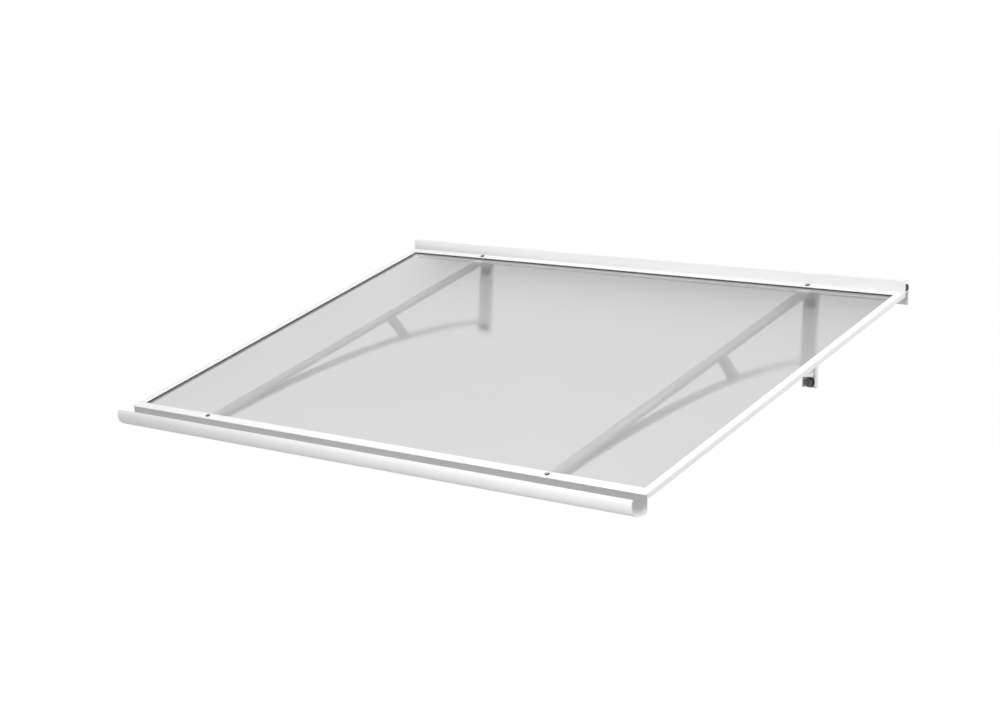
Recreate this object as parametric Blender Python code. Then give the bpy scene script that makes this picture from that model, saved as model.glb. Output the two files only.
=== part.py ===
"""Door canopy: a frosted pane in a white aluminium frame with a rain gutter, held by two wall brackets.

X runs along the wall, the wall's face is the plane Y = 0, the canopy reaches towards -Y, and Z is up.
The origin lies on the wall's face, at the middle of the wall rail's flat back leg.
Sizes are in millimetres, and the meshes are made in metres.
"""
import math

import bmesh
import bpy
from mathutils import Matrix, Vector

MM = 0.001
CLEAR = 0.3                  # gap between pieces that touch

# The roof's plane
SLOPE = math.radians(16.25)
WIDTH = 1400.0
VISIBLE_DEPTH = 941.6        # pane between the rear and the front lip, down the slope
REAR_LIP_Y = -32.4           # rear lip's inner edge, at the height of the pane's top
REAR_LIP_Z = 5.6

# Pane and glazing seals
PANE_T = 4.0
PANE_GRIP = 4.5              # how far the pane reaches under a lip
SEAL_T = 1.3
SEAL_WEB = 1.0
SEAL_PROUD = 2.3             # how far a seal stands out past the lip

# Frame profiles
LIP_T = 1.4
LEDGE_T = 2.0
WALL_T = 2.0
SIDE_LIP = 18.0
FRONT_LIP = 22.4
EDGE_R = 0.6                 # rounding of a profile's long edges

# Gutter
NOSE = 4.0                   # front lip past the gutter's back wall
NOSE_T = 2.0
GUTTER_DEPTH = 37.8          # from the front lip's outer corner to the gutter's underside
GUTTER_WIDTH = 50.6          # over both walls
GUTTER_LIP_DROP = 3.2        # gutter's front edge under the front lip's outer corner
LEAN = 3.0                   # how far the gutter's front wall leans in at its top
LEAN_H = 7.0
LEAN_R = 12.0
FRONT_R = 24.6
REAR_R = 10.0
BEAD = 1.2
BEAD_T = 3.0

# Wall rail and wall seal
RAIL_FRONT_Y = -15.9
RAIL_TOP_Z = 38.8
HOOD_GAP = 1.0               # hood's edge to the wall
HOOD_R = 2.5
LEG_HALF = 15.0
LEG_T = 2.5
WALL_SEAL_H = 15.0
WALL_SEAL_ROUND = 0.44       # corner radius as a share of the seal's thickness

# Brackets
BRACKET_INSET = 234.0        # bracket's middle to the frame's side
BAR_W = 24.0
ARM_T = 11.0
ARM_FRONT_GAP = 2.0          # arm's end to the gutter's back wall
NOTCH_GAP = 1.0              # arm's shoulder to the seal's edge
CHANNEL_W = 35.0
CHANNEL_DEPTH = 10.0
CHANNEL_T = 3.0
CHANNEL_TOP_Z = 12.0
CHANNEL_BOTTOM_Z = -219.4
NOTCH_SIDE = 0.4             # rail's leg to the channel
FOOT_W = 26.0
FOOT_T = 4.0
FOOT_TOP_Z = -158.0
FOOT_BOTTOM_Z = -194.5
STRUT_T = 8.0
STRUT_ROOT_Z = -185.7
STRUT_SETBACK = 19.5         # strut's front end to the front lip screw
STRUT_HANDLE = 305.0         # length of the curve's handles along Y
STRUT_ROOT_SLOPE = 0.13      # rise for each millimetre away from the wall
STRUT_END_SLOPE = -0.25
STRUT_STEPS = 32
BRACE_T = 13.0
BRACE_HEAD = 351.1           # brace's head on the arm, down the slope
BRACE_FOOT_Y = -309.0

# Fasteners
LIP_SCREW_R = 2.5
SCREW_GAP = 0.9              # rear lip screw to the rear seal
LIP_HEAD_R = 4.9
LIP_HEAD_H = 3.2
LIP_HEAD_RIM = 0.6
LIP_SOCKET_AF = 3.0
LIP_SOCKET_H = 1.4
NUT_AF = 8.0
NUT_H = 4.0
NUT_LAND = 1.2               # screw's end past its nut
BOLT_R = 5.0
BOLT_AF = 19.0
BOLT_HEAD_H = 7.0
BOLT_CHAMFER = 1.2
WASHER_R = 11.5
WASHER_T = 2.0
UPPER_BOLT_Z = -40.0
LOWER_BOLT_Z = -207.5

# Corner keys
KEY_LEG = 46.0

# Steps of the screws' domed heads
DOME_STEPS = 5
DOME_SWEEP = math.radians(58)

OVERRUN = 10.0               # how far a cutter goes past what it cuts

# Heights above the pane's top, square to the slope
SEAL_TOP = CLEAR + SEAL_T
LIP_UNDER = SEAL_TOP + CLEAR
LIP_TOP = LIP_UNDER + LIP_T
SEAL_UNDER = -PANE_T - CLEAR - SEAL_T
LEDGE_TOP = SEAL_UNDER - CLEAR
LEDGE_UNDER = LEDGE_TOP - LEDGE_T
ARM_TOP = -PANE_T - CLEAR
ARM_UNDER = ARM_TOP - ARM_T
TONGUE_TOP = LEDGE_UNDER - CLEAR

# Distances down the slope from the rear lip's inner edge
FRONT_EDGE = VISIBLE_DEPTH + FRONT_LIP
PANE_REAR = -PANE_GRIP
PANE_FRONT = VISIBLE_DEPTH + PANE_GRIP
SEAL_SPAN = PANE_GRIP + CLEAR + SEAL_WEB
FRONT_SCREW = VISIBLE_DEPTH + FRONT_LIP / 2
REAR_SCREW = -(SEAL_SPAN + SCREW_GAP + LIP_SCREW_R)

HALF = WIDTH / 2
SIDE_EDGE = HALF - SIDE_LIP              # side lip's inner edge
SIDE_INNER = HALF - WALL_T               # side profile's outer wall, inner face
BRACKET_X = HALF - BRACKET_INSET


def slope_point(d, h):
    """(Y, Z) at distance d down the slope and height h above the pane's top."""
    y = REAR_LIP_Y - d * math.cos(SLOPE) - h * math.sin(SLOPE)
    z = REAR_LIP_Z - d * math.sin(SLOPE) + h * math.cos(SLOPE)
    return y, z


def slope_at_y(y, h):
    """(Y, Z) where the line at height h above the pane's top meets a plumb plane."""
    d = (REAR_LIP_Y - y - h * math.sin(SLOPE)) / math.cos(SLOPE)
    return slope_point(d, h)


def distance_at_y(y, h):
    """Distance down the slope at which height h reaches a plumb plane."""
    return (REAR_LIP_Y - y - h * math.sin(SLOPE)) / math.cos(SLOPE)


def meet(p, along_p, q, along_q):
    """Point where two lines in one plane cross."""
    det = along_p[0] * -along_q[1] + along_q[0] * along_p[1]
    across = ((q[0] - p[0]) * -along_q[1] + along_q[0] * (q[1] - p[1])) / det
    return p[0] + across * along_p[0], p[1] + across * along_p[1]


NOSE_CORNER = slope_point(FRONT_EDGE, LIP_TOP)
GUTTER_BACK_Y = NOSE_CORNER[0] + NOSE              # gutter's back wall, front face
GROOVE_Y = GUTTER_BACK_Y + WALL_T                  # the same wall, rear face
GUTTER_FRONT_Y = GROOVE_Y - GUTTER_WIDTH
GUTTER_BOTTOM_Z = NOSE_CORNER[1] - GUTTER_DEPTH
GUTTER_LIP_Z = NOSE_CORNER[1] - GUTTER_LIP_DROP
WEB_FACE_Y = -CHANNEL_T - CLEAR                    # what lies on the channel's web starts here
BRACKETS = (("left", -BRACKET_X), ("right", BRACKET_X))

for old in list(bpy.data.objects):
    bpy.data.objects.remove(old, do_unlink=True)


def material(name, colour, roughness, metallic=0.0):
    mat = bpy.data.materials.new(name)
    mat.use_nodes = True
    shader = mat.node_tree.nodes["Principled BSDF"]
    shader.inputs["Base Color"].default_value = (*colour, 1)
    shader.inputs["Roughness"].default_value = roughness
    shader.inputs["Metallic"].default_value = metallic
    return mat


WHITE = material("white_coat", (0.86, 0.86, 0.86), 0.4)
FROSTED = material("frosted_pane", (0.8, 0.82, 0.82), 0.5)
BLACK = material("black_rubber", (0.03, 0.03, 0.03), 0.7)
DARK = material("dark_bolt", (0.06, 0.06, 0.065), 0.45, 0.6)
STEEL = material("stainless", (0.6, 0.6, 0.6), 0.25, 1.0)
CAST = material("key_alloy", (0.55, 0.56, 0.57), 0.4, 1.0)


def rounded(corners, steps=6):
    """Outline of corners (a, b, radius), with each rounded corner as an arc."""
    points = []
    count = len(corners)
    for i, (a, b, radius) in enumerate(corners):
        here = Vector((a, b))
        if radius <= 0:
            points.append(here)
            continue
        back = (Vector(corners[i - 1][:2]) - here).normalized()
        ahead = (Vector(corners[(i + 1) % count][:2]) - here).normalized()
        half = back.angle(ahead) / 2
        centre = here + (back + ahead).normalized() * (radius / math.sin(half))
        start = here + back * (radius / math.tan(half)) - centre
        end = here + ahead * (radius / math.tan(half)) - centre
        sweep = start.angle_signed(end)
        arc_steps = max(2, round(steps * abs(sweep) / (math.pi / 2)))
        for step in range(arc_steps + 1):
            angle = -sweep * step / arc_steps
            turn = Matrix.Rotation(angle, 2)
            points.append(centre + turn @ start)
    return points


def add(name, mesh, mat):
    """Object from a bmesh in millimetres, with outward faces and smooth shading up to 35 degrees."""
    bmesh.ops.recalc_face_normals(mesh, faces=mesh.faces)
    bmesh.ops.scale(mesh, vec=(MM, MM, MM), verts=mesh.verts)
    data = bpy.data.meshes.new(name)
    mesh.to_mesh(data)
    mesh.free()
    data.shade_smooth()
    data.set_sharp_from_angle(angle=math.radians(35))
    data.materials.append(mat)
    obj = bpy.data.objects.new(name, data)
    bpy.context.scene.collection.objects.link(obj)
    return obj


def prism(name, start, end, mat):
    """Closed solid between two outlines of the same number of points."""
    mesh = bmesh.new()
    first = [mesh.verts.new(p) for p in start]
    last = [mesh.verts.new(p) for p in end]
    mesh.faces.new(first)
    mesh.faces.new(list(reversed(last)))
    for i in range(len(first)):
        j = (i + 1) % len(first)
        mesh.faces.new((first[j], first[i], last[i], last[j]))
    return add(name, mesh, mat)


def along_x(name, outline, x0, x1, mat):
    """Outline in (Y, Z), pulled along X."""
    return prism(name, [(x0, y, z) for y, z in outline], [(x1, y, z) for y, z in outline], mat)


def along_z(name, outline, z0, z1, mat):
    """Outline in (X, Y), pulled along Z."""
    return prism(name, [(x, y, z0) for x, y in outline], [(x, y, z1) for x, y in outline], mat)


def down_slope(name, outline, d0, d1, mat):
    """Outline in (X, height), pulled down the slope."""
    ends = []
    for d in (d0, d1):
        ends.append([(x, *slope_point(d, h)) for x, h in outline])
    return prism(name, ends[0], ends[1], mat)


def slab(name, outline, h0, h1, mat):
    """Outline in (X, distance down the slope), between two heights above the pane's top."""
    ends = []
    for h in (h0, h1):
        ends.append([(x, *slope_point(d, h)) for x, d in outline])
    return prism(name, ends[0], ends[1], mat)


def ring_points(radius, height, flats, sides):
    """Circle, or a polygon of that many flats at the radius, both with the same number of points."""
    points = []
    for i in range(sides):
        angle = 2 * math.pi * i / sides
        reach = radius
        if flats:
            part = 2 * math.pi / flats
            reach = radius / math.cos((angle + part / 2) % part - part / 2)
        points.append((reach * math.cos(angle), reach * math.sin(angle), height))
    return points


def turned(name, rings, place, mat, sides=24, hollow=False):
    """Solid about Z from rings (radius, height, flats), moved to its place by a matrix in millimetres.

    The rings run up the outside. A hollow piece closes on its first ring, and any other has two caps.
    """
    mesh = bmesh.new()
    loops = []
    for radius, height, flats in rings:
        loops.append([mesh.verts.new(p) for p in ring_points(radius, height, flats, sides)])
    pairs = list(zip(loops, loops[1:]))
    if hollow:
        pairs.append((loops[-1], loops[0]))
    else:
        mesh.faces.new(list(reversed(loops[0])))
        mesh.faces.new(loops[-1])
    for lower, upper in pairs:
        for i in range(sides):
            j = (i + 1) % sides
            mesh.faces.new((lower[i], lower[j], upper[j], upper[i]))
    bmesh.ops.transform(mesh, matrix=place, verts=mesh.verts)
    return add(name, mesh, mat)


def cut(obj, cutters):
    """Takes each cutter out of the object."""
    for cutter in cutters:
        cutter.hide_render = True
        cutter.display_type = "WIRE"
        step = obj.modifiers.new(cutter.name, "BOOLEAN")
        step.operation = "DIFFERENCE"
        step.solver = "EXACT"
        step.object = cutter


def box_cutter(name, xs, ys, zs):
    outline = [(xs[0], ys[0]), (xs[1], ys[0]), (xs[1], ys[1]), (xs[0], ys[1])]
    return along_z(name, outline, zs[0], zs[1], WHITE)


def on_slope(x, d):
    """Matrix that stands a turned piece square on the pane's top plane."""
    y, z = slope_point(d, 0.0)
    return Matrix.Translation((x, y, z)) @ Matrix.Rotation(SLOPE, 4, "X")


def out_of_wall(x, z):
    """Matrix that turns a piece's axis away from the wall, with its start on the wall's face."""
    return Matrix.Translation((x, 0, z)) @ Matrix.Rotation(math.pi / 2, 4, "X")


def make_pane():
    x = SIDE_EDGE + PANE_GRIP
    outline = [(-x, PANE_REAR), (x, PANE_REAR), (x, PANE_FRONT), (-x, PANE_FRONT)]
    slab("pane", outline, -PANE_T, 0.0, FROSTED)


def make_side_profile(name, side):
    """Channel round the pane's side edge, with its lips and wall between the end profiles."""
    corners = [
        (SIDE_EDGE, LIP_TOP, EDGE_R),
        (HALF, LIP_TOP, EDGE_R),
        (HALF, LEDGE_UNDER, EDGE_R),
        (SIDE_EDGE, LEDGE_UNDER, EDGE_R),
        (SIDE_EDGE, LEDGE_TOP, 0),
        (SIDE_INNER, LEDGE_TOP, 0),
        (SIDE_INNER, LIP_UNDER, 0),
        (SIDE_EDGE, LIP_UNDER, 0),
    ]
    outline = [(side * x, h) for x, h in rounded(corners, 4)]
    rear = distance_at_y(RAIL_FRONT_Y, LIP_TOP) - OVERRUN
    obj = down_slope(name, outline, rear, FRONT_EDGE + OVERRUN, WHITE)
    xs = sorted((side * (SIDE_EDGE - OVERRUN), side * (HALF + OVERRUN)))
    zs = (NOSE_CORNER[1] - GUTTER_DEPTH, RAIL_TOP_Z)
    front_y = GROOVE_Y + CLEAR
    rear_y = RAIL_FRONT_Y - CLEAR
    plumb_front = box_cutter(name + "_cut_front", xs, (front_y - 3 * OVERRUN, front_y), zs)
    plumb_rear = box_cutter(name + "_cut_rear", xs, (rear_y, rear_y + 3 * OVERRUN), zs)
    cutters = [plumb_front, plumb_rear]
    inner, outer = side * (SIDE_EDGE - OVERRUN), side * SIDE_INNER
    ends = (("front", VISIBLE_DEPTH - CLEAR, FRONT_EDGE + 2 * OVERRUN), ("rear", CLEAR, rear - OVERRUN))
    for end, d0, d1 in ends:
        outline = [(inner, d0), (outer, d0), (outer, d1), (inner, d1)]
        cutters.append(slab(name + "_lip_" + end, outline, LEDGE_UNDER - OVERRUN, LIP_TOP + OVERRUN, WHITE))
    cut(obj, cutters)


def end_notches(name, ys, zs):
    """Cutters that shorten an end profile's lips for the side profiles' walls."""
    cutters = []
    for side in (-1, 1):
        xs = sorted((side * (SIDE_INNER - CLEAR), side * (HALF + OVERRUN)))
        cutters.append(box_cutter(name + ("_left" if side < 0 else "_right"), xs, ys, zs))
    return cutters


def make_front_gutter(holes):
    """Front profile: the groove for the pane's front edge, and the rain gutter in front of it."""
    inner_y = GUTTER_FRONT_Y + WALL_T
    bead_y = inner_y + LEAN + BEAD
    bead_root_y = inner_y + LEAN * (1 - BEAD_T / LEAN_H)
    lean_z = GUTTER_LIP_Z - LEAN_H
    corners = [
        (*slope_point(VISIBLE_DEPTH, LIP_TOP), EDGE_R),
        (*NOSE_CORNER, EDGE_R),
        (*slope_point(FRONT_EDGE, LIP_TOP - NOSE_T), EDGE_R),
        (*slope_at_y(GUTTER_BACK_Y, LIP_TOP - NOSE_T), 0),
        (GUTTER_BACK_Y, GUTTER_BOTTOM_Z + WALL_T, REAR_R - WALL_T),
        (inner_y, GUTTER_BOTTOM_Z + WALL_T, FRONT_R - WALL_T),
        (inner_y, lean_z, LEAN_R - WALL_T),
        (bead_root_y, GUTTER_LIP_Z - BEAD_T, EDGE_R),
        (bead_y, GUTTER_LIP_Z - BEAD_T, EDGE_R),
        (bead_y, GUTTER_LIP_Z, 2 * EDGE_R),
        (GUTTER_FRONT_Y + LEAN, GUTTER_LIP_Z, 2 * EDGE_R),
        (GUTTER_FRONT_Y, lean_z, LEAN_R),
        (GUTTER_FRONT_Y, GUTTER_BOTTOM_Z, FRONT_R),
        (GROOVE_Y, GUTTER_BOTTOM_Z, REAR_R),
        (*slope_at_y(GROOVE_Y, LEDGE_UNDER), 0),
        (*slope_point(VISIBLE_DEPTH, LEDGE_UNDER), EDGE_R),
        (*slope_point(VISIBLE_DEPTH, LEDGE_TOP), 0),
        (*slope_at_y(GROOVE_Y, LEDGE_TOP), 0),
        (*slope_at_y(GROOVE_Y, LIP_UNDER), 0),
        (*slope_point(VISIBLE_DEPTH, LIP_UNDER), 0),
    ]
    obj = along_x("front_gutter", rounded(corners, 10), -HALF, HALF, WHITE)
    ledge_z = slope_at_y(GROOVE_Y, LEDGE_UNDER)[1]
    lip_y, lip_z = slope_point(VISIBLE_DEPTH, LIP_TOP)
    ys = (GROOVE_Y, lip_y + OVERRUN)
    notches = end_notches("front_notch", ys, (ledge_z - CLEAR, lip_z + OVERRUN))
    cut(obj, notches + holes)


def make_wall_rail(holes):
    """Rear profile: the pane's groove, an upright with a hood, and a flat leg on the wall."""
    upright_rear = RAIL_FRONT_Y + WALL_T
    corners = [
        (*slope_point(0.0, LIP_TOP), EDGE_R),
        (*slope_at_y(RAIL_FRONT_Y, LIP_TOP), 0),
        (RAIL_FRONT_Y, RAIL_TOP_Z, HOOD_R),
        (-HOOD_GAP, RAIL_TOP_Z, EDGE_R),
        (-HOOD_GAP, RAIL_TOP_Z - WALL_T, EDGE_R),
        (upright_rear, RAIL_TOP_Z - WALL_T, EDGE_R),
        (upright_rear, LEG_HALF, 0),
        (0.0, LEG_HALF, EDGE_R),
        (0.0, -LEG_HALF, EDGE_R),
        (-LEG_T, -LEG_HALF, EDGE_R),
        (-LEG_T, LEG_HALF - WALL_T, EDGE_R),
        (upright_rear, LEG_HALF - WALL_T, EDGE_R),
        (*slope_at_y(upright_rear, LEDGE_UNDER), EDGE_R),
        (*slope_point(0.0, LEDGE_UNDER), EDGE_R),
        (*slope_point(0.0, LEDGE_TOP), 0),
        (*slope_at_y(RAIL_FRONT_Y, LEDGE_TOP), 0),
        (*slope_at_y(RAIL_FRONT_Y, LIP_UNDER), 0),
        (*slope_point(0.0, LIP_UNDER), 0),
    ]
    obj = along_x("wall_rail", rounded(corners, 4), -HALF, HALF, WHITE)
    low_y, low_z = slope_point(0.0, LEDGE_UNDER)
    ys = (low_y - OVERRUN, RAIL_FRONT_Y)
    cutters = end_notches("rail_notch", ys, (low_z - OVERRUN, RAIL_TOP_Z - HOOD_R))
    for side, x in BRACKETS:
        reach = CHANNEL_W / 2 + NOTCH_SIDE
        top = CHANNEL_TOP_Z + NOTCH_SIDE
        ys = (-LEG_T - CLEAR, OVERRUN)
        zs = (-LEG_HALF - OVERRUN, top)
        cutters.append(box_cutter("leg_notch_" + side, (x - reach, x + reach), ys, zs))
    cut(obj, cutters + holes)


def seal_section(edge, outwards):
    """Channel of rubber on the pane's edge, as (place across the lip, height above the pane's top)."""
    proud = edge - outwards * SEAL_PROUD
    floor = edge + outwards * (PANE_GRIP + CLEAR)
    back = edge + outwards * SEAL_SPAN
    return [
        (proud, SEAL_TOP),
        (back, SEAL_TOP),
        (back, SEAL_UNDER),
        (proud, SEAL_UNDER),
        (proud, -PANE_T - CLEAR),
        (floor, -PANE_T - CLEAR),
        (floor, CLEAR),
        (proud, CLEAR),
    ]


def make_pane_seals():
    for side, name in ((-1, "pane_seal_left"), (1, "pane_seal_right")):
        section = seal_section(side * SIDE_EDGE, side)
        down_slope(name, section, -SEAL_SPAN, VISIBLE_DEPTH + SEAL_SPAN, BLACK)
    x = SIDE_EDGE - SEAL_PROUD - CLEAR
    for edge, outwards, name in ((0.0, -1, "pane_seal_rear"), (VISIBLE_DEPTH, 1, "pane_seal_front")):
        section = [slope_point(d, h) for d, h in seal_section(edge, outwards)]
        along_x(name, section, -x, x, BLACK)


def make_wall_seal():
    """Oval rubber strip between the upright and the wall, on the rail's shelf."""
    front = RAIL_FRONT_Y + WALL_T + CLEAR
    bottom = LEG_HALF + CLEAR
    top = bottom + WALL_SEAL_H
    radius = -front * WALL_SEAL_ROUND
    corners = [(front, bottom, radius), (0.0, bottom, radius), (0.0, top, radius), (front, top, radius)]
    along_x("wall_seal", rounded(corners), -HALF, HALF, BLACK)


def make_corner_keys():
    """Angle pieces in the hollows of the profiles, which hold the frame's corners."""
    for side, side_name in ((-1, "left"), (1, "right")):
        outer = SIDE_INNER - CLEAR
        inner = SIDE_EDGE + SEAL_SPAN + CLEAR
        front = distance_at_y(GROOVE_Y + CLEAR, LIP_UNDER - CLEAR)
        rear = distance_at_y(RAIL_FRONT_Y - CLEAR, LEDGE_TOP + CLEAR)
        front_step = VISIBLE_DEPTH + SEAL_SPAN + CLEAR
        rear_step = -SEAL_SPAN - CLEAR
        for end_name, end, step, back in (("front", front, front_step, -1), ("rear", rear, rear_step, 1)):
            tip = end + back * KEY_LEG
            outline = [
                (outer, end),
                (outer, tip),
                (inner, tip),
                (inner, step),
                (outer - KEY_LEG, step),
                (outer - KEY_LEG, end),
            ]
            outline = [(side * x, d) for x, d in outline]
            name = "corner_key_" + end_name + "_" + side_name
            slab(name, outline, LEDGE_TOP + CLEAR, LIP_UNDER - CLEAR, CAST)


def make_lip_screw(name, x, d):
    """Domed screw with a hexagon socket, down through the lip, the ledge and the arm, and its nut."""
    seat = LIP_TOP + CLEAR
    nut_top = ARM_UNDER - CLEAR
    nut_bottom = nut_top - NUT_H
    rings = [(LIP_SCREW_R, nut_bottom - NUT_LAND, 0), (LIP_SCREW_R, seat, 0), (LIP_HEAD_R, seat, 0)]
    dome_h = LIP_HEAD_H - LIP_HEAD_RIM
    for step in range(DOME_STEPS + 1):
        angle = DOME_SWEEP * step / DOME_STEPS
        radius = LIP_HEAD_R * math.cos(angle)
        height = seat + LIP_HEAD_RIM + dome_h * math.sin(angle) / math.sin(DOME_SWEEP)
        rings.append((radius, height, 0))
    top = seat + LIP_HEAD_H
    rings.append((LIP_SOCKET_AF / 2, top, 6))
    rings.append((LIP_SOCKET_AF / 2, top - LIP_SOCKET_H, 6))
    turned("lip_screw_" + name, rings, on_slope(x, d), STEEL)
    bore = LIP_SCREW_R + CLEAR
    rings = [(bore, nut_bottom, 0), (NUT_AF / 2, nut_bottom, 6), (NUT_AF / 2, nut_top, 6), (bore, nut_top, 0)]
    turned("lip_nut_" + name, rings, on_slope(x, d), STEEL, hollow=True)


def lip_hole(name, x, d):
    reach = LIP_SCREW_R + CLEAR
    rings = [(reach, ARM_UNDER - OVERRUN, 0), (reach, LIP_TOP + OVERRUN, 0)]
    return turned("lip_hole_" + name, rings, on_slope(x, d), WHITE)


def make_wall_channel(side, x):
    """Channel section on the wall, its flanges facing out, with two bolt holes in its web."""
    half = CHANNEL_W / 2
    inner = half - CHANNEL_T
    corners = [
        (-half, 0.0, EDGE_R),
        (half, 0.0, EDGE_R),
        (half, -CHANNEL_DEPTH, EDGE_R),
        (inner, -CHANNEL_DEPTH, EDGE_R),
        (inner, -CHANNEL_T, 2 * EDGE_R),
        (-inner, -CHANNEL_T, 2 * EDGE_R),
        (-inner, -CHANNEL_DEPTH, EDGE_R),
        (-half, -CHANNEL_DEPTH, EDGE_R),
    ]
    outline = [(x + a, b) for a, b in rounded(corners, 4)]
    obj = along_z("wall_channel_" + side, outline, CHANNEL_BOTTOM_Z, CHANNEL_TOP_Z, WHITE)
    holes = []
    for place, z in (("upper", UPPER_BOLT_Z), ("lower", LOWER_BOLT_Z)):
        rings = [(BOLT_R + CLEAR, -OVERRUN, 0), (BOLT_R + CLEAR, CHANNEL_DEPTH + OVERRUN, 0)]
        holes.append(turned("bolt_hole_" + place + "_" + side, rings, out_of_wall(x, z), WHITE))
    cut(obj, holes)


def make_wall_bolt(name, x, z):
    """Hexagon bolt, cut off at the wall's face, with its washer on the channel's web."""
    seat = CHANNEL_T + CLEAR
    washer_top = seat + WASHER_T
    bore = BOLT_R + CLEAR
    rings = [(bore, seat, 0), (WASHER_R, seat, 0), (WASHER_R, washer_top, 0), (bore, washer_top, 0)]
    turned("washer_" + name, rings, out_of_wall(x, z), DARK, hollow=True)
    under = washer_top + CLEAR
    head = under + BOLT_HEAD_H
    apothem = BOLT_AF / 2
    rings = [
        (BOLT_R, 0.0, 0),
        (BOLT_R, under, 0),
        (apothem, under, 6),
        (apothem, head - BOLT_CHAMFER, 6),
        (apothem - BOLT_CHAMFER, head, 0),
    ]
    turned("wall_bolt_" + name, rings, out_of_wall(x, z), DARK)


def make_arm(side, x, holes):
    """Flat bar under the pane, stepped down at both ends to pass under the profiles' ledges."""
    rear_step = SEAL_PROUD + NOTCH_GAP
    front_step = VISIBLE_DEPTH - rear_step
    front_y = GROOVE_Y + ARM_FRONT_GAP
    outline = [
        slope_point(rear_step, ARM_TOP),
        slope_point(rear_step, TONGUE_TOP),
        slope_at_y(WEB_FACE_Y, TONGUE_TOP),
        slope_at_y(WEB_FACE_Y, ARM_UNDER),
        slope_at_y(front_y, ARM_UNDER),
        slope_at_y(front_y, TONGUE_TOP),
        slope_point(front_step, TONGUE_TOP),
        slope_point(front_step, ARM_TOP),
    ]
    obj = along_x("arm_" + side, outline, x - BAR_W / 2, x + BAR_W / 2, WHITE)
    cut(obj, holes)


def strut_point(t):
    """Point on the strut's upper edge and its direction, for t from 0 at the wall to 1 at the arm."""
    root = Vector((WEB_FACE_Y - FOOT_T - CLEAR, STRUT_ROOT_Z))
    end = Vector(slope_point(FRONT_SCREW - STRUT_SETBACK, ARM_UNDER - CLEAR))
    leave = root + Vector((-STRUT_HANDLE, STRUT_HANDLE * STRUT_ROOT_SLOPE))
    arrive = end + Vector((STRUT_HANDLE, -STRUT_HANDLE * STRUT_END_SLOPE))
    u = 1 - t
    point = root * u ** 3 + leave * 3 * u * u * t + arrive * 3 * u * t * t + end * t ** 3
    along = (leave - root) * u * u + (arrive - leave) * 2 * u * t + (end - arrive) * t * t
    return point, along.normalized()


def strut_at(y):
    """Point and direction of the strut's upper edge at a distance from the wall."""
    low, high = 0.0, 1.0
    for _ in range(40):
        middle = (low + high) / 2
        if strut_point(middle)[0].x > y:
            low = middle
        else:
            high = middle
    return strut_point(low)


def make_strut(side, x):
    """Flat bar bent to a long arch, from the foot plate to the front end of the arm."""
    upper = []
    lower = []
    for step in range(STRUT_STEPS + 1):
        point, along = strut_point(step / STRUT_STEPS)
        upper.append(point)
        lower.append(point + Vector((-along.y, along.x)) * STRUT_T)
    outline = upper + list(reversed(lower))
    along_x("strut_" + side, outline, x - BAR_W / 2, x + BAR_W / 2, WHITE)


def make_brace(side, x):
    """Short flat bar from the arm down to the strut, leaning towards the wall, with its ends cut to fit."""
    head = Vector(slope_point(BRACE_HEAD, ARM_UNDER - CLEAR))
    foot, strut_along = strut_at(BRACE_FOOT_Y)
    foot = foot + Vector((strut_along.y, -strut_along.x)) * CLEAR
    along = (foot - head).normalized()
    across = Vector((-along.y, along.x)) * (BRACE_T / 2)
    arm_along = (-math.cos(SLOPE), -math.sin(SLOPE))
    outline = [
        meet(head + across, along, head, arm_along),
        meet(head - across, along, head, arm_along),
        meet(foot - across, along, foot, strut_along),
        meet(foot + across, along, foot, strut_along),
    ]
    along_x("brace_" + side, outline, x - BAR_W / 2, x + BAR_W / 2, WHITE)


def make_foot(side, x):
    """Plate in the wall channel that carries the strut's end."""
    xs = (x - FOOT_W / 2, x + FOOT_W / 2)
    ys = (WEB_FACE_Y - FOOT_T, WEB_FACE_Y)
    outline = [(xs[0], ys[0]), (xs[1], ys[0]), (xs[1], ys[1]), (xs[0], ys[1])]
    along_z("strut_foot_" + side, outline, FOOT_BOTTOM_Z, FOOT_TOP_Z, WHITE)


def main():
    front_holes = []
    rear_holes = []
    for side, x in BRACKETS:
        front = lip_hole("front_" + side, x, FRONT_SCREW)
        rear = lip_hole("rear_" + side, x, REAR_SCREW)
        front_holes.append(front)
        rear_holes.append(rear)
        make_lip_screw("front_" + side, x, FRONT_SCREW)
        make_lip_screw("rear_" + side, x, REAR_SCREW)
        make_arm(side, x, [front, rear])
        make_strut(side, x)
        make_brace(side, x)
        make_foot(side, x)
        make_wall_channel(side, x)
        make_wall_bolt("upper_" + side, x, UPPER_BOLT_Z)
        make_wall_bolt("lower_" + side, x, LOWER_BOLT_Z)
    make_pane()
    make_side_profile("side_profile_left", -1)
    make_side_profile("side_profile_right", 1)
    make_front_gutter(front_holes)
    make_wall_rail(rear_holes)
    make_pane_seals()
    make_wall_seal()
    make_corner_keys()


main()
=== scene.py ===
"""Looks of a door canopy: a frosted pane in a white coated frame with a gutter, on two wall brackets.

Lengths are in metres. -Y points out from the wall, +X to the right seen from the front.
"""
import math

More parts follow.
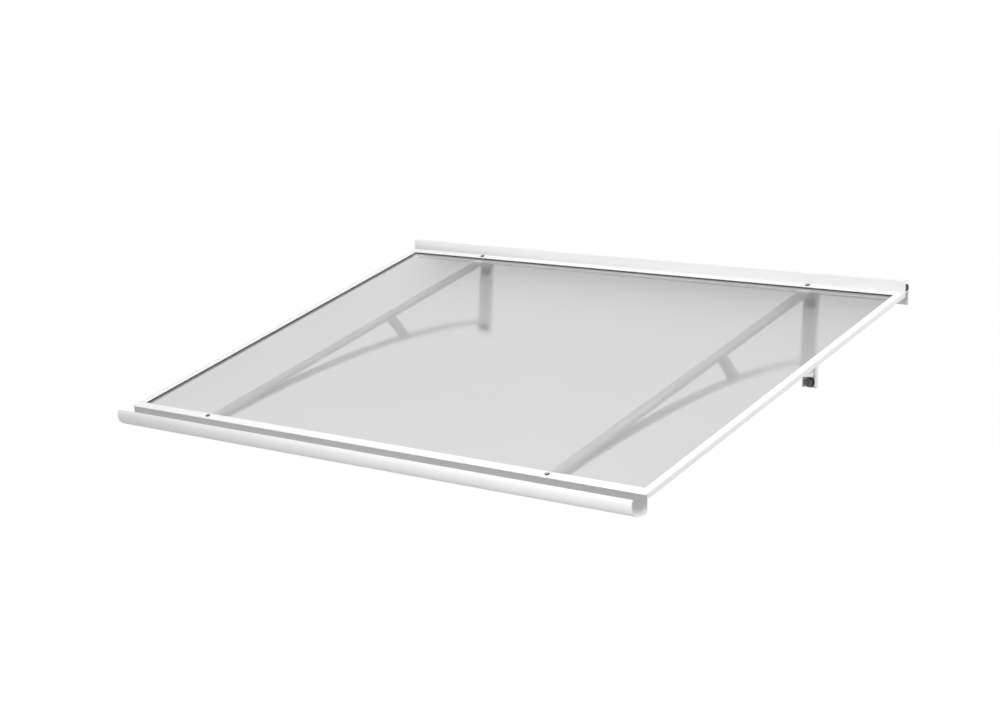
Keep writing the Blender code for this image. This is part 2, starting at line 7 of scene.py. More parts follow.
import bmesh
import bpy
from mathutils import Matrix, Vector


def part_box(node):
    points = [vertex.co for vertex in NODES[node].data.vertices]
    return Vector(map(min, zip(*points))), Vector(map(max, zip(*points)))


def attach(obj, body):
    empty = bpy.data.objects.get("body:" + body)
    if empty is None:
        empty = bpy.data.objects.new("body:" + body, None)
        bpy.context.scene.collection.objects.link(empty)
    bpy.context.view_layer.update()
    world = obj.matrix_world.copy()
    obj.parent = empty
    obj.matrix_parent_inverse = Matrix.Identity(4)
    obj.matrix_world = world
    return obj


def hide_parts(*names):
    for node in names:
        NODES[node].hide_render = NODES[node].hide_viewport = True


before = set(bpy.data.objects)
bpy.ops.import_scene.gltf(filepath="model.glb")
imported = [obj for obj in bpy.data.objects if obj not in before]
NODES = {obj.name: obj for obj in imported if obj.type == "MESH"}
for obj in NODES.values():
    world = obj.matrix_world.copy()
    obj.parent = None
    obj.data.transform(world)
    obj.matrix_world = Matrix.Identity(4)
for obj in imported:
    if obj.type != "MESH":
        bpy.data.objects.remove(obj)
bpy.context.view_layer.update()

bl_info = {
    "name": "Door Canopy Looks",
    "version": (1, 0, 0),
    "blender": (4, 5, 0),
    "location": "3D View > Sidebar > Canopy",
    "description": "Finishes a wall-mounted door canopy and sets its stage",
    "category": "Object",
}

SIDES = ("left", "right")
ENDS = ("front", "rear")
WHITE = (1, 1, 1, 1)
SURFACE_IOR = 1.5

# Powder coat, with painted light: lighter near the wall towards the rail's left end
PAINTED_LIGHT_DEPTH = (-0.03, -0.02)     # Y from which the painted light sets in
PAINTED_LIGHT_REACH = (-0.7, 0.2)        # X over which that fades
PAINTED_LIGHT_TONE = 1.1

# Painted shade inside the gutter, measured from the gutter's lower front edge
GUTTER_REACH = 0.0488            # back to its rear wall
REACH_SOFT = 0.0004
BRIM_HEIGHT = 0.0335             # up to the front lip
BRIM_RISE = 0.055                # rise of the painted shade's limit from there to the rear
BRIM_SOFT = 0.0003
GUTTER_SHADE_SOFT = 0.002
GUTTER_SHADE_FADE = (0.004, 0.024)       # heights over which it sets in
GUTTER_SHADE_SPAN = (-0.7, 0.7)          # X over which it goes from its left to its right tone
GUTTER_SHADE_LEFT = 0.56
GUTTER_SHADE_RIGHT = 0.42

# Frosted pane
PANE_SLOPE = math.radians(16.25)
PANE_UP = Vector((0, -math.sin(PANE_SLOPE), math.cos(PANE_SLOPE)))
PANE_BEND = 1.035                # index by which it bends light
PANE_THROUGH = 0.6               # share of light that it lets through
PANE_GLOSS = 0.3
PANE_GLOSS_ROUGHNESS = 0.06
PANE_FACE_SOFT = 0.0002

# Wall's soft shade on the pane, by distance down the slope
SHADE_PEAK = 0.69
SHADE_RISE = 0.022               # how fast it sets in from the rear edge
SHADE_START = (-0.02, 0.16)      # how far from the left edge it sets in
SHADE_SLANT = 0.5                # how much farther right that is for each metre down
SHADE_TONE = 0.05                # what full shade leaves of the pane's colour
LIP_SHADE_END = (0.004, 0.010)        # painted shade under the rear lip
LIP_SHADE_PEAK = 0.5
LIGHT_RIM_START = (0.004, 0.016)       # painted light: a lighter rim between the painted shade under the lip and the wall's shade
LIGHT_RIM_END = (0.013, 0.032)
LIGHT_RIM_PEAK = 0.75
LIGHT_RIM_TONE = 2.0

# Clean copies of the solids
SAME_POINT = 0.000002
SAME_CORNER = 0.0002
FLAT_ANGLE = 0.4
CURVE_ANGLE = 35.0
STRIP_ANGLE = 50.0
ROUND_ANGLE = 50.0
ROUND_SEGMENTS = 2
GASKET_EDGE = 0.0004
NUT_EDGE = 0.0003
BOLT_EDGE = 0.0005
WASHER_EDGE = 0.0004

# Weld beads
BEAD_STATIONS = 60
BEAD_SIDES = 12
BEAD_FILL = 0.72                 # radius as a share of the weld's leg
BEAD_TIP = 0.25                  # radius at the ends as a share of that
BEAD_SWELL = 4.0                 # how steeply it swells from there
BEAD_RIPPLE = 0.09
BEAD_WAVE = 0.9                  # turn of the ripple from station to station
BEAD_ANGLE = 60.0

# Stage
SENSOR_WIDTH = 36.0
VIEW_REACH = 200.0
FLOOR_RADIUS = 60.0
FLOOR_SIDES = 96
FLOOR_TONE = 0.6
FLOOR_ROUGHNESS = 0.9
FLOOR_LIFT = 0.75                # light that the eye alone sees on the floor

# Each lamp's place, the point it aims at, and its width and height
LAMPS = {
    "key": ((-0.2, -0.35, 1.4), (-0.15, -0.36, 0), (2.8, 1.0)),
    "front": ((0.75, -2.75, 0.42), (0.35, -1, -0.28), (1.0, 0.5)),
    "side": ((3.0, -0.3, 0.9), (0.7, -0.45, -0.15), (1.6, 1.0)),
}


class CanopyCoat(bpy.types.PropertyGroup):
    """Powder coat on the frame and the brackets."""

    colour: bpy.props.FloatVectorProperty(
        name="Coat colour", description="Colour of the powder coat", subtype="COLOR",
        size=3, min=0.0, max=1.0, default=(0.87, 0.87, 0.868),
    )
    roughness: bpy.props.FloatProperty(
        name="Coat roughness", description="Roughness of the coat", default=0.42, min=0.0, max=1.0,
    )
    peel: bpy.props.FloatProperty(
        name="Orange peel", description="Height of the coat's fine waves", default=0.00003,
        min=0.0, max=0.001, precision=6, unit="LENGTH",
    )
    edge: bpy.props.FloatProperty(
        name="Edge rounding", description="Rounding of sawn bar edges under the coat", default=0.0006,
        min=0.0, max=0.003, precision=5, unit="LENGTH",
    )


class CanopyPane(bpy.types.PropertyGroup):
    """Frosted pane."""

    colour: bpy.props.FloatVectorProperty(
        name="Pane colour", description="Tint of the light that comes through", subtype="COLOR",
        size=3, min=0.0, max=1.0, default=(0.535, 0.535, 0.535),
    )
    frost: bpy.props.FloatProperty(
        name="Frost", description="Roughness of the frosted face", default=0.3, min=0.0, max=1.0,
    )
    shade_depth: bpy.props.FloatProperty(
        name="Wall shade", description="How far the soft shade along the wall reaches", default=0.112,
        min=0.01, max=1.0, unit="LENGTH",
    )


class CanopyTrim(bpy.types.PropertyGroup):
    """Rubber seals, fixings and welds."""

    rubber: bpy.props.FloatVectorProperty(
        name="Rubber colour", description="Colour of the seals", subtype="COLOR",
        size=3, min=0.0, max=1.0, default=(0.045, 0.045, 0.046),
    )
    bolt: bpy.props.FloatVectorProperty(
        name="Bolt colour", description="Colour of the wall bolts and washers", subtype="COLOR",
        size=3, min=0.0, max=1.0, default=(0.1, 0.1, 0.103),
    )
    screw: bpy.props.FloatVectorProperty(
        name="Screw colour", description="Colour of the lip screws and nuts", subtype="COLOR",
        size=3, min=0.0, max=1.0, default=(0.62, 0.62, 0.63),
    )
    weld: bpy.props.FloatProperty(
        name="Weld size", description="Leg length of the weld beads", default=0.0026,
        min=0.0005, max=0.01, precision=4, unit="LENGTH",
    )


class CanopyStage(bpy.types.PropertyGroup):
    """Camera, light and floor."""

    camera_place: bpy.props.FloatVectorProperty(
        name="Camera place", description="Where the camera stands", subtype="TRANSLATION",
        size=3, default=(2.7633, -3.8722, 0.5515),
    )
    camera_turn: bpy.props.FloatVectorProperty(
        name="Camera turn", description="The camera's rotation", subtype="EULER",
        size=3, default=(math.radians(80.9946), 0.0, math.radians(39.5146)),
    )
    lens: bpy.props.FloatProperty(
        name="Lens", description="Focal length on a 36 mm sensor", default=73.07, min=10.0, max=300.0,
    )
    floor_drop: bpy.props.FloatProperty(
        name="Floor", description="How far the floor lies under the wall rail", default=2.15,
        min=0.5, max=5.0, unit="LENGTH",
    )
    sky: bpy.props.FloatProperty(
        name="Sky light", description="Strength of the even light from all round", default=0.42,
        min=0.0, max=5.0,
    )
    key: bpy.props.FloatProperty(
        name="Key light", description="Power of the wide lamp above the pane", default=17.5,
        min=0.0, max=500.0, subtype="POWER",
    )
    front: bpy.props.FloatProperty(
        name="Front light", description="Power of the lamp in front of the gutter", default=26.0,
        min=0.0, max=500.0, subtype="POWER",
    )
    side: bpy.props.FloatProperty(
        name="Side light", description="Power of the lamp to the right", default=37.0,
        min=0.0, max=500.0, subtype="POWER",
    )


class Value:
    """A socket of a node tree that takes part in arithmetic, each operator adding a Math node."""

    def __init__(self, graph, socket):
        self.graph = graph
        self.socket = socket

    def _math(self, operation, *values, clamp=False):
        settings = {"operation": operation, "use_clamp": clamp}
        return self.graph.out("ShaderNodeMath", 0, settings, dict(enumerate(values)))

    def __add__(self, other):
        return self._math("ADD", self, other)

    __radd__ = __add__

    def __sub__(self, other):
        return self._math("SUBTRACT", self, other)

    def __rsub__(self, other):
        return self._math("SUBTRACT", other, self)

    def __mul__(self, other):
        return self._math("MULTIPLY", self, other)

    __rmul__ = __mul__

    def __truediv__(self, other):
        return self._math("DIVIDE", self, other)

    def exp(self):
        return self._math("EXPONENT", self)

    def clamp(self):
        return self._math("ADD", self, 0.0, clamp=True)

    def at_least(self, other):
        return self._math("MAXIMUM", self, other)

    def smooth(self, low, high):
        """0 below low, 1 above high, with a soft step between."""
        inputs = {"Value": self, "From Min": low, "From Max": high}
        return self.graph.out("ShaderNodeMapRange", "Result", {"interpolation_type": "SMOOTHSTEP"}, inputs)

    def under(self, limit, soft):
        """1 below a limit, 0 a soft step above it."""
        return 1 - self.smooth(limit, limit + soft)


class Graph:
    """A node tree under construction."""

    def __init__(self, tree):
        self.tree = tree

    def node(self, kind, settings=None, inputs=None):
        """Adds any node: its settings first, then the values or links of its sockets."""
        made = self.tree.nodes.new(kind)
        for name, value in (settings or {}).items():
            setattr(made, name, value)
        for name, value in (inputs or {}).items():
            if isinstance(value, Value):
                self.link(value.socket, made.inputs[name])
            else:
                made.inputs[name].default_value = value
        return made

    def out(self, kind, socket, settings=None, inputs=None):
        """Adds any node and gives one of its outputs."""
        return Value(self, self.node(kind, settings, inputs).outputs[socket])

    def link(self, source, target):
        self.tree.links.new(source, target)


class Shader(Graph):
    """A material under construction, with a Principled shader at its end."""

    def __init__(self, name, **constants):
        self.material = bpy.data.materials.new(name)
        self.material.use_nodes = True
        super().__init__(self.material.node_tree)
        self.principled = self.tree.nodes["Principled BSDF"]
        for name, value in constants.items():
            self.principled.inputs[name.replace("_", " ")].default_value = value

    def feed(self, **values):
        """Links varying values to the Principled shader."""
        for name, value in values.items():
            self.link(value.socket, self.principled.inputs[name.replace("_", " ")])

    def place(self):
        """Position on the object."""
        return self.out("ShaderNodeTexCoord", "Object")

    def axes(self):
        """The position's X, Y and Z."""
        made = self.node("ShaderNodeSeparateXYZ", None, {0: self.place()})
        return [Value(self, made.outputs[i]) for i in range(3)]

    def facing(self, direction):
        """Cosine between the object's surface normal and a direction."""
        inputs = {0: self.out("ShaderNodeTexCoord", "Normal"), 1: direction}
        return self.out("ShaderNodeVectorMath", "Value", {"operation": "DOT_PRODUCT"}, inputs)

    def noise(self, scale, detail=2.0, roughness=0.5, stretch=None):
        vector = self.place()
        if stretch:
            inputs = {0: vector, 1: stretch}
            vector = self.out("ShaderNodeVectorMath", 0, {"operation": "MULTIPLY"}, inputs)
        inputs = {"Vector": vector, "Scale": scale, "Detail": detail, "Roughness": roughness}
        return self.out("ShaderNodeTexNoise", "Fac", {"noise_dimensions": "3D"}, inputs)

    def wander(self, middle, spread, scale):
        """A value that drifts about a middle."""
        return self.noise(scale) * spread + (middle - spread / 2)

    def blend(self, factor, low, high):
        """Colour between two colours or colour sockets."""
        inputs = {0: factor, 6: with_alpha(low), 7: with_alpha(high)}
        return self.out("ShaderNodeMix", 2, {"data_type": "RGBA"}, inputs)

    def bump(self, height, distance):
        inputs = {"Height": height, "Distance": distance, "Strength": 1.0}
        return self.out("ShaderNodeBump", "Normal", None, inputs)


def with_alpha(colour):
    """A plain colour as a socket takes it. A Value stays as it is."""
    return (*colour, 1.0) if isinstance(colour, tuple) else colour


def scaled(colour, factor):
    """A colour made lighter or darker, as far as white."""
    return tuple(min(1.0, channel * factor) for channel in colour)


def painted_gutter_shade(shader):
    """1 on the gutter's inner faces, which get painted shade, 0 elsewhere."""
    low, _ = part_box("front_gutter")
    _, y, z = shader.axes()
    across = shader.facing((0, 1, 0)) * (low.y + GUTTER_REACH / 2 - y)
    upward = shader.facing((0, 0, 1)) * (low.z + GUTTER_REACH / 2 - z)
    inward = (across + upward).smooth(0.0, GUTTER_SHADE_SOFT)
    fade = z.smooth(low.z + GUTTER_SHADE_FADE[0], low.z + GUTTER_SHADE_FADE[1])
    before = y.under(low.y + GUTTER_REACH, REACH_SOFT)
    below = (z - y * BRIM_RISE).under(low.z + BRIM_HEIGHT - BRIM_RISE * low.y, BRIM_SOFT)
    return inward * fade * before * below


def coat_material(coat):
    """White powder coat with fine orange peel and a little mottling, painted light near the wall at the left
    end, and painted shade in the gutter.
    """
    shader = Shader("white_coat", IOR=SURFACE_IOR)
    colour = tuple(coat.colour)
    mottle = shader.noise(9.0, detail=3.0).smooth(0.3, 0.7)
    fleck = shader.noise(900.0, detail=1.0).smooth(0.62, 0.74)
    base = shader.blend(mottle, scaled(colour, 0.985), scaled(colour, 1.01))
    base = shader.blend(fleck * 0.12, base, scaled(colour, 0.86))
    x, y, _ = shader.axes()
    # Painted light: the coat near the wall is painted lighter towards the left end
    painted_light = y.smooth(*PAINTED_LIGHT_DEPTH) * (1 - x.smooth(*PAINTED_LIGHT_REACH))
    base = shader.blend(painted_light, base, scaled(colour, PAINTED_LIGHT_TONE))
    # Painted shade: the gutter's inner faces are painted grey, lighter at the left end and darker at the
    # right
    gutter_shade = shader.blend(x.smooth(*GUTTER_SHADE_SPAN), scaled(colour, GUTTER_SHADE_LEFT), scaled(colour, GUTTER_SHADE_RIGHT))
    base = shader.blend(painted_gutter_shade(shader), base, gutter_shade)
    peel = shader.noise(420.0, roughness=0.55) + 0.4 * shader.noise(1400.0, detail=1.0)
    rough = shader.wander(coat.roughness, 0.1, 30.0)
    shader.feed(Base_Color=base, Roughness=rough, Normal=shader.bump(peel, coat.peel))
    return shader.material


def wall_shade(depth, across, reach):
    """The wall's painted soft shade and the painted shade under the rear lip, from 0 to 1."""
    fade = (depth / -reach).exp() * SHADE_PEAK
    rise = 1 - (depth / -SHADE_RISE).exp()
    side = (across - depth * SHADE_SLANT).smooth(*SHADE_START)
    # Painted shade: the pane is painted darker just under the rear lip
    lip_shade = (1 - depth.smooth(*LIP_SHADE_END)) * LIP_SHADE_PEAK
    return (fade * rise * side + lip_shade).clamp()


def painted_light_rim(depth):
    """The painted light of a lighter rim along the rear lip, from 0 to 1."""
    return depth.smooth(*LIGHT_RIM_START) * (1 - depth.smooth(*LIGHT_RIM_END)) * LIGHT_RIM_PEAK


def pane_top(y, z):
    """1 on the pane's upper face, 0 on its underside, so that light bends only once."""
    heights = [vertex.co.dot(PANE_UP) for vertex in NODES["pane"].data.vertices]
    middle = (min(heights) + max(heights)) / 2
    return (z * PANE_UP.z + y * PANE_UP.y).smooth(middle - PANE_FACE_SOFT, middle + PANE_FACE_SOFT)


def pane_material(pane):
    """Frosted sheet, lit through, with the wall's soft shade along its rear edge."""
    low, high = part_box("pane")
    slope = math.atan2(high.z - low.z, high.y - low.y)
    shader = Shader("frosted_pane", Transmission_Weight=PANE_THROUGH, IOR=PANE_BEND,
                    Coat_Weight=PANE_GLOSS, Coat_Roughness=PANE_GLOSS_ROUGHNESS)
    x, y, z = shader.axes()
    depth = (high.y - y) / math.cos(slope)
    shade = wall_shade(depth, x - low.x, pane.shade_depth)
    colour = tuple(pane.colour)
    cloud = shader.noise(3.0).smooth(0.25, 0.75)
    base = shader.blend(cloud, scaled(colour, 0.992), scaled(colour, 1.008))
    base = shader.blend(shade, base, scaled(colour, SHADE_TONE))
    # Painted light: a lighter rim along the rear lip
    base = shader.blend(painted_light_rim(depth), base, scaled(colour, LIGHT_RIM_TONE))
    rough = shader.wander(pane.frost, 0.03, 160.0)
    shader.feed(Base_Color=base, Roughness=rough, Alpha=pane_top(y, z))
    return shader.material


def rubber_material(trim):
    """Black rubber with a dusty bloom and a fine extruded grain."""
    shader = Shader("black_rubber", IOR=SURFACE_IOR)
    colour = tuple(trim.rubber)
    bloom = shader.noise(60.0, detail=3.0, roughness=0.6).smooth(0.45, 0.8)
    base = shader.blend(bloom * 0.35, colour, scaled(colour, 2.6))
    grain = shader.noise(700.0, roughness=0.6, stretch=(0.15, 1.0, 1.0))
    rough = shader.wander(0.66, 0.16, 90.0)
    shader.feed(Base_Color=base, Roughness=rough, Normal=shader.bump(grain, 0.00006))
    return shader.material


def bolt_material(trim):
    """Dark coated steel of the wall bolts, rubbed lighter in random patches."""
    shader = Shader("dark_bolt", IOR=SURFACE_IOR)
    colour = tuple(trim.bolt)
    wear = shader.noise(180.0, detail=3.0, roughness=0.6).smooth(0.52, 0.8)
    base = shader.blend(wear * 0.5, colour, scaled(colour, 3.2))
    rough = shader.wander(0.43, 0.2, 260.0)
    metal = wear * 0.3 + 0.55
    grain = shader.bump(shader.noise(900.0), 0.00003)
    shader.feed(Base_Color=base, Roughness=rough, Metallic=metal, Normal=grain)
    return shader.material


def screw_material(trim):
    """Stainless steel with fine turning marks, and painted shade darkening the flanks of the domed heads."""
    shader = Shader("stainless", IOR=SURFACE_IOR)
    colour = tuple(trim.screw)
    tone = shader.noise(300.0).smooth(0.3, 0.7)
    # Painted shade: the domed heads are painted dark where they face away from the pane's up direction
    unshaded_crown = shader.facing(tuple(PANE_UP)).smooth(0.8, 0.96)
    base = shader.blend(tone, scaled(colour, 0.9), scaled(colour, 1.08))
    base = shader.blend(unshaded_crown, scaled(colour, 0.12), base)
    rough = shader.wander(0.26, 0.12, 500.0)
    metal = tone * 0.05 + 0.95
    grain = shader.bump(shader.noise(2500.0, detail=1.0), 0.00001)
    shader.feed(Base_Color=base, Roughness=rough, Metallic=metal, Normal=grain)
    return shader.material


def alloy_material():
    """Cast corner keys: dull grey, slightly grainy."""
    shader = Shader("key_alloy", IOR=SURFACE_IOR)
    tone = shader.noise(140.0, detail=3.0).smooth(0.3, 0.7)
    base = shader.blend(tone, (0.46, 0.47, 0.48), (0.6, 0.61, 0.62))
    rough = shader.wander(0.495, 0.15, 300.0)
    metal = tone * 0.1 + 0.85
    shader.feed(Base_Color=base, Roughness=rough, Metallic=metal, Normal=shader.bump(tone, 0.00008))
    return shader.material


def finish_material(slot):
    """The one material of a slot, made when it is first asked for."""
    known = bpy.data.materials.get(slot)
    if known and known.get("canopy_finish"):
        return known
    scene = bpy.context.scene
    if known:
        known.name = slot + "_packed"
    makers = {
        "white_coat": lambda: coat_material(scene.canopy_coat),
        "frosted_pane": lambda: pane_material(scene.canopy_pane),
        "black_rubber": lambda: rubber_material(scene.canopy_trim),
        "dark_bolt": lambda: bolt_material(scene.canopy_trim),
        "stainless": lambda: screw_material(scene.canopy_trim),
        "key_alloy": alloy_material,
    }
    made = makers[slot]()
    made["canopy_finish"] = True
    return made


def paint(obj, slot):
    """Gives an object the finish of a slot."""
    obj.data.materials.clear()
    obj.data.materials.append(finish_material(slot))


def link_object(name, data):
    """A new object in the scene."""
    obj = bpy.data.objects.new(name, data)
    bpy.context.scene.collection.objects.link(obj)
    return obj


def mesh_object(name, mesh):
    """A new object in the scene from a bmesh, which is freed."""
    data = bpy.data.meshes.new(name)
    mesh.to_mesh(data)
    mesh.free()
    return link_object(name, data)


def smooth_faces(obj, angle):
    """Smooth shading that keeps edges sharper than an angle in degrees."""
    obj.data.shade_smooth()
    obj.data.set_sharp_from_angle(angle=math.radians(angle))


def round_edges(obj, width):
    """Rounds an object's sharp edges."""
    step = obj.modifiers.new("edges", "BEVEL")
    step.width = width
    step.segments = ROUND_SEGMENTS
    step.limit_method = "ANGLE"
    step.angle_limit = math.radians(ROUND_ANGLE)
    step.harden_normals = True


def piece_from(node, name, slot, edge=0.0, smooth_angle=CURVE_ANGLE):
    """A finer copy of a CAD node that stands for it: tidied faces, smooth curves and rounded edges."""
    mesh = bmesh.new()
    mesh.from_mesh(NODES[node].data)
    bmesh.ops.remove_doubles(mesh, verts=mesh.verts, dist=SAME_POINT)
    flat = math.radians(FLAT_ANGLE)
    bmesh.ops.dissolve_limit(mesh, angle_limit=flat, verts=mesh.verts, edges=mesh.edges)
    obj = mesh_object(name, mesh)
    smooth_faces(obj, smooth_angle)
    if edge > 0:
        round_edges(obj, edge)
    paint(obj, slot)
    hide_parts(node)
    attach(obj, "root")


def add_piece(name, mesh, slot, smooth_angle):
    """A piece of its own from a bmesh, riding on the canopy."""
    bmesh.ops.recalc_face_normals(mesh, faces=mesh.faces)
    obj = mesh_object(name, mesh)
    smooth_faces(obj, smooth_angle)
    paint(obj, slot)
    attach(obj, "root")


class CANOPY_OT_frame(bpy.types.Operator):
    """Finish the gutter, the rail, the side profiles and the corner keys"""

    bl_idname = "canopy.frame"
    bl_label = "Frame profiles"

    def execute(self, context):
        for node in ("front_gutter", "wall_rail", "side_profile_left", "side_profile_right"):
            piece_from(node, node + "_coated", "white_coat")
        for end in ENDS:
            for side in SIDES:
                paint(NODES[f"corner_key_{end}_{side}"], "key_alloy")
        return {"FINISHED"}


class CANOPY_OT_pane(bpy.types.Operator):
    """Finish the frosted pane"""

    bl_idname = "canopy.pane"
    bl_label = "Pane"

    def execute(self, context):
        paint(NODES["pane"], "frosted_pane")
        return {"FINISHED"}


class CANOPY_OT_seals(bpy.types.Operator):
    """Finish the pane's seals and the wall seal"""

    bl_idname = "canopy.seals"
    bl_label = "Seals"

    def execute(self, context):
        for place in SIDES + ENDS:
            piece_from("pane_seal_" + place, "pane_gasket_" + place, "black_rubber", GASKET_EDGE)
        piece_from("wall_seal", "wall_seal_strip", "black_rubber", smooth_angle=STRIP_ANGLE)
        return {"FINISHED"}


class CANOPY_OT_brackets(bpy.types.Operator):
    """Finish the arms, struts, braces, feet and wall channels"""

    bl_idname = "canopy.brackets"
    bl_label = "Brackets"

    def execute(self, context):
        edge = context.scene.canopy_coat.edge
        for side in SIDES:
            for part in ("arm", "strut", "brace", "strut_foot"):
                piece_from(f"{part}_{side}", f"{part}_bar_{side}", "white_coat", edge)
            piece_from(f"wall_channel_{side}", f"wall_channel_coated_{side}", "white_coat")
        return {"FINISHED"}


def section_corners(node):
    """Corners of a bar's outline as (Y, Z), the lowest first."""
    found = []
    for vertex in NODES[node].data.vertices:
        corner = Vector(vertex.co.yz)
        if all((corner - other).length > SAME_CORNER for other in found):
            found.append(corner)
    return sorted(found, key=lambda corner: corner.y)


def strut_corners(node):
    """Corners of a strut that are welded: both of its root and the upper one of its tip."""
    corners = section_corners(node)
    root = sorted(corners, key=lambda corner: -corner.x)[:2]
    tip = sorted(corners, key=lambda corner: corner.x)[:2]
    return (*root, max(tip, key=lambda corner: corner.y))


def bead_radius(share, leg):
    """Radius of a bead at a share of its run: thin at both ends and rippled between."""
    swell = min(1.0, math.sin(math.pi * share) * BEAD_SWELL + BEAD_TIP)
    ripple = 1.0 + BEAD_RIPPLE * math.sin(share * BEAD_STATIONS * BEAD_WAVE)
    return leg * BEAD_FILL * swell * ripple


def bead_ring(mesh, x, corner, radius):
    """A ring of vertices round a corner, at a place along X."""
    ring = []
    for step in range(BEAD_SIDES):
        angle = 2 * math.pi * step / BEAD_SIDES
        place = (x, corner.x + radius * math.cos(angle), corner.y + radius * math.sin(angle))
        ring.append(mesh.verts.new(place))
    return ring


def make_bead(name, corner, span, leg):
    """A run of weld along X over a corner, with the ripple of its puddles."""
    mesh = bmesh.new()
    low, high = span
    shares = [station / BEAD_STATIONS for station in range(BEAD_STATIONS + 1)]
    rings = [bead_ring(mesh, low + (high - low) * share, corner, bead_radius(share, leg)) for share in shares]
    for near, far in zip(rings, rings[1:]):
        for i in range(BEAD_SIDES):
            j = (i + 1) % BEAD_SIDES
            mesh.faces.new((near[i], near[j], far[j], far[i]))
    mesh.faces.new(rings[0])
    mesh.faces.new(list(reversed(rings[-1])))
    add_piece(name, mesh, "white_coat", BEAD_ANGLE)


class CANOPY_OT_welds(bpy.types.Operator):
    """Run the weld beads where the struts and braces meet the arms and feet"""

    bl_idname = "canopy.welds"
    bl_label = "Welds"

    def execute(self, context):
        leg = context.scene.canopy_trim.weld
        for side in SIDES:
            low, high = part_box("brace_" + side)
            span = (low.x + leg / 2, high.x - leg / 2)
            for i, corner in enumerate(section_corners("brace_" + side)):
                make_bead(f"brace_weld_{side}_{i}", corner, span, leg)
            for i, corner in enumerate(strut_corners("strut_" + side)):
                make_bead(f"strut_weld_{side}_{i}", corner, span, leg)
        return {"FINISHED"}


class CANOPY_OT_fixings(bpy.types.Operator):
    """Finish the screws, nuts, bolts and washers"""

    bl_idname = "canopy.fixings"
    bl_label = "Fixings"

    def execute(self, context):
        for side in SIDES:
            for end in ENDS:
                place = f"{end}_{side}"
                piece_from("lip_screw_" + place, "dome_screw_" + place, "stainless")
                piece_from("lip_nut_" + place, "hex_nut_" + place, "stainless", NUT_EDGE)
            for level in ("upper", "lower"):
                place = f"{level}_{side}"
                piece_from("wall_bolt_" + place, "hex_bolt_" + place, "dark_bolt", BOLT_EDGE)
                piece_from("washer_" + place, "flat_washer_" + place, "dark_bolt", WASHER_EDGE)
        return {"FINISHED"}


def seen_rays(graph):
    """1 for camera, glossy and transmission rays, which see the plain white surroundings."""
    path = graph.node("ShaderNodeLightPath")
    camera, glossy, through = (
        Value(graph, path.outputs[f"Is {kind} Ray"]) for kind in ("Camera", "Glossy", "Transmission")
    )
    return camera.at_least(glossy).at_least(through)


def make_world(sky):
    """Even light from all round, seen as plain white."""
    world = bpy.data.worlds.new("studio")
    world.use_nodes = True
    bpy.context.scene.world = world
    graph = Graph(world.node_tree)
    graph.tree.nodes.clear()
    strength = seen_rays(graph) * (1.0 - sky) + sky
    back = graph.node("ShaderNodeBackground", None, {"Color": WHITE, "Strength": strength})
    output = graph.node("ShaderNodeOutputWorld")
    graph.link(back.outputs[0], output.inputs["Surface"])


def floor_material():
    """Pale matt floor that shows white where it is lit."""
    tone = (FLOOR_TONE, FLOOR_TONE, FLOOR_TONE, 1)
    shader = Shader("floor_pale", Base_Color=tone, Roughness=FLOOR_ROUGHNESS, Specular_IOR_Level=0.0)
    lift = seen_rays(shader) * FLOOR_LIFT
    glow = shader.node("ShaderNodeEmission", None, {"Color": WHITE, "Strength": lift})
    both = shader.node("ShaderNodeAddShader")
    shader.link(shader.principled.outputs[0], both.inputs[0])
    shader.link(glow.outputs[0], both.inputs[1])
    shader.link(both.outputs[0], shader.tree.nodes["Material Output"].inputs["Surface"])
    return shader.material


def make_floor(drop):
    """Wide floor below the canopy, which keeps its shadow."""
    mesh = bmesh.new()
    bmesh.ops.create_circle(mesh, cap_ends=True, segments=FLOOR_SIDES, radius=FLOOR_RADIUS)
    floor = mesh_object("floor", mesh)
    floor.location = (0, 0, -drop)
    floor.data.materials.append(floor_material())


def make_lamp(name, place, target, size, power):
    """A soft rectangular lamp of a width and height, aimed at a point."""
    data = bpy.data.lights.new(name, "AREA")
    data.shape = "RECTANGLE"
    data.size, data.size_y = size
    data.energy = power
    lamp = link_object(name, data)
    lamp.location = place
    aim = Vector(target) - Vector(place)
    lamp.rotation_euler = aim.to_track_quat("-Z", "Y").to_euler()


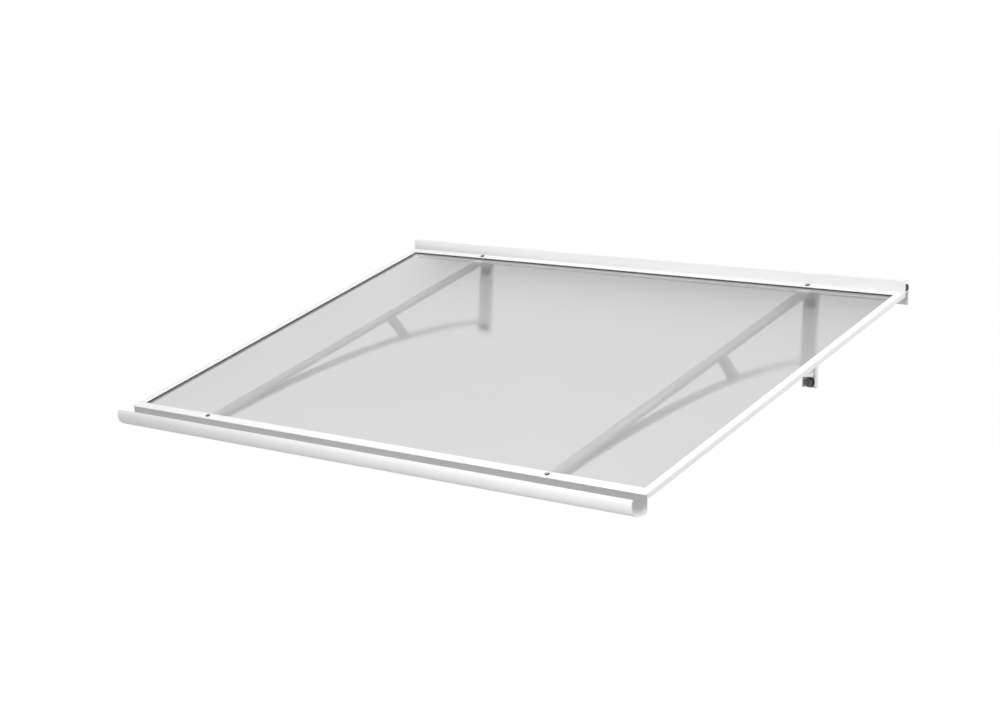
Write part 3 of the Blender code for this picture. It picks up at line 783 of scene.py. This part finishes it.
def make_camera(place, turn, lens):
    """The camera that the scene renders from."""
    data = bpy.data.cameras.new("camera")
    data.lens = lens
    data.sensor_width = SENSOR_WIDTH
    data.clip_end = VIEW_REACH
    camera = link_object("camera", data)
    camera.location = place
    camera.rotation_euler = turn
    bpy.context.scene.camera = camera


class CANOPY_OT_stage(bpy.types.Operator):
    """Set the camera, the light and the floor"""

    bl_idname = "canopy.stage"
    bl_label = "Stage"

    def execute(self, context):
        stage = context.scene.canopy_stage
        make_camera(stage.camera_place, stage.camera_turn, stage.lens)
        context.scene.view_settings.view_transform = "Standard"
        make_world(stage.sky)
        make_floor(stage.floor_drop)
        for name, (place, target, size) in LAMPS.items():
            make_lamp(name, place, target, size, getattr(stage, name))
        return {"FINISHED"}


class CANOPY_PT_panel(bpy.types.Panel):
    """Sidebar panel with the canopy's values and steps"""

    bl_idname = "CANOPY_PT_panel"
    bl_label = "Door canopy"
    bl_space_type = "VIEW_3D"
    bl_region_type = "UI"
    bl_category = "Canopy"

    def draw(self, context):
        for name in GROUPS:
            group = getattr(context.scene, name)
            box = self.layout.box()
            for prop in group.__annotations__:
                box.prop(group, prop)
        for operator in STEPS:
            self.layout.operator(operator.bl_idname)


GROUPS = {
    "canopy_coat": CanopyCoat,
    "canopy_pane": CanopyPane,
    "canopy_trim": CanopyTrim,
    "canopy_stage": CanopyStage,
}
STEPS = (
    CANOPY_OT_stage,
    CANOPY_OT_frame,
    CANOPY_OT_pane,
    CANOPY_OT_seals,
    CANOPY_OT_brackets,
    CANOPY_OT_welds,
    CANOPY_OT_fixings,
)
CLASSES = (*GROUPS.values(), *STEPS, CANOPY_PT_panel)


def register():
    for cls in CLASSES:
        bpy.utils.register_class(cls)
    for name, group in GROUPS.items():
        setattr(bpy.types.Scene, name, bpy.props.PointerProperty(type=group))


def unregister():
    for name in GROUPS:
        delattr(bpy.types.Scene, name)
    for cls in reversed(CLASSES):
        bpy.utils.unregister_class(cls)


def main():
    register()
    bpy.ops.canopy.stage()
    bpy.ops.canopy.frame()
    bpy.ops.canopy.pane()
    bpy.ops.canopy.seals()
    bpy.ops.canopy.brackets()
    bpy.ops.canopy.welds()
    bpy.ops.canopy.fixings()


if __name__ == "__main__":
    main()
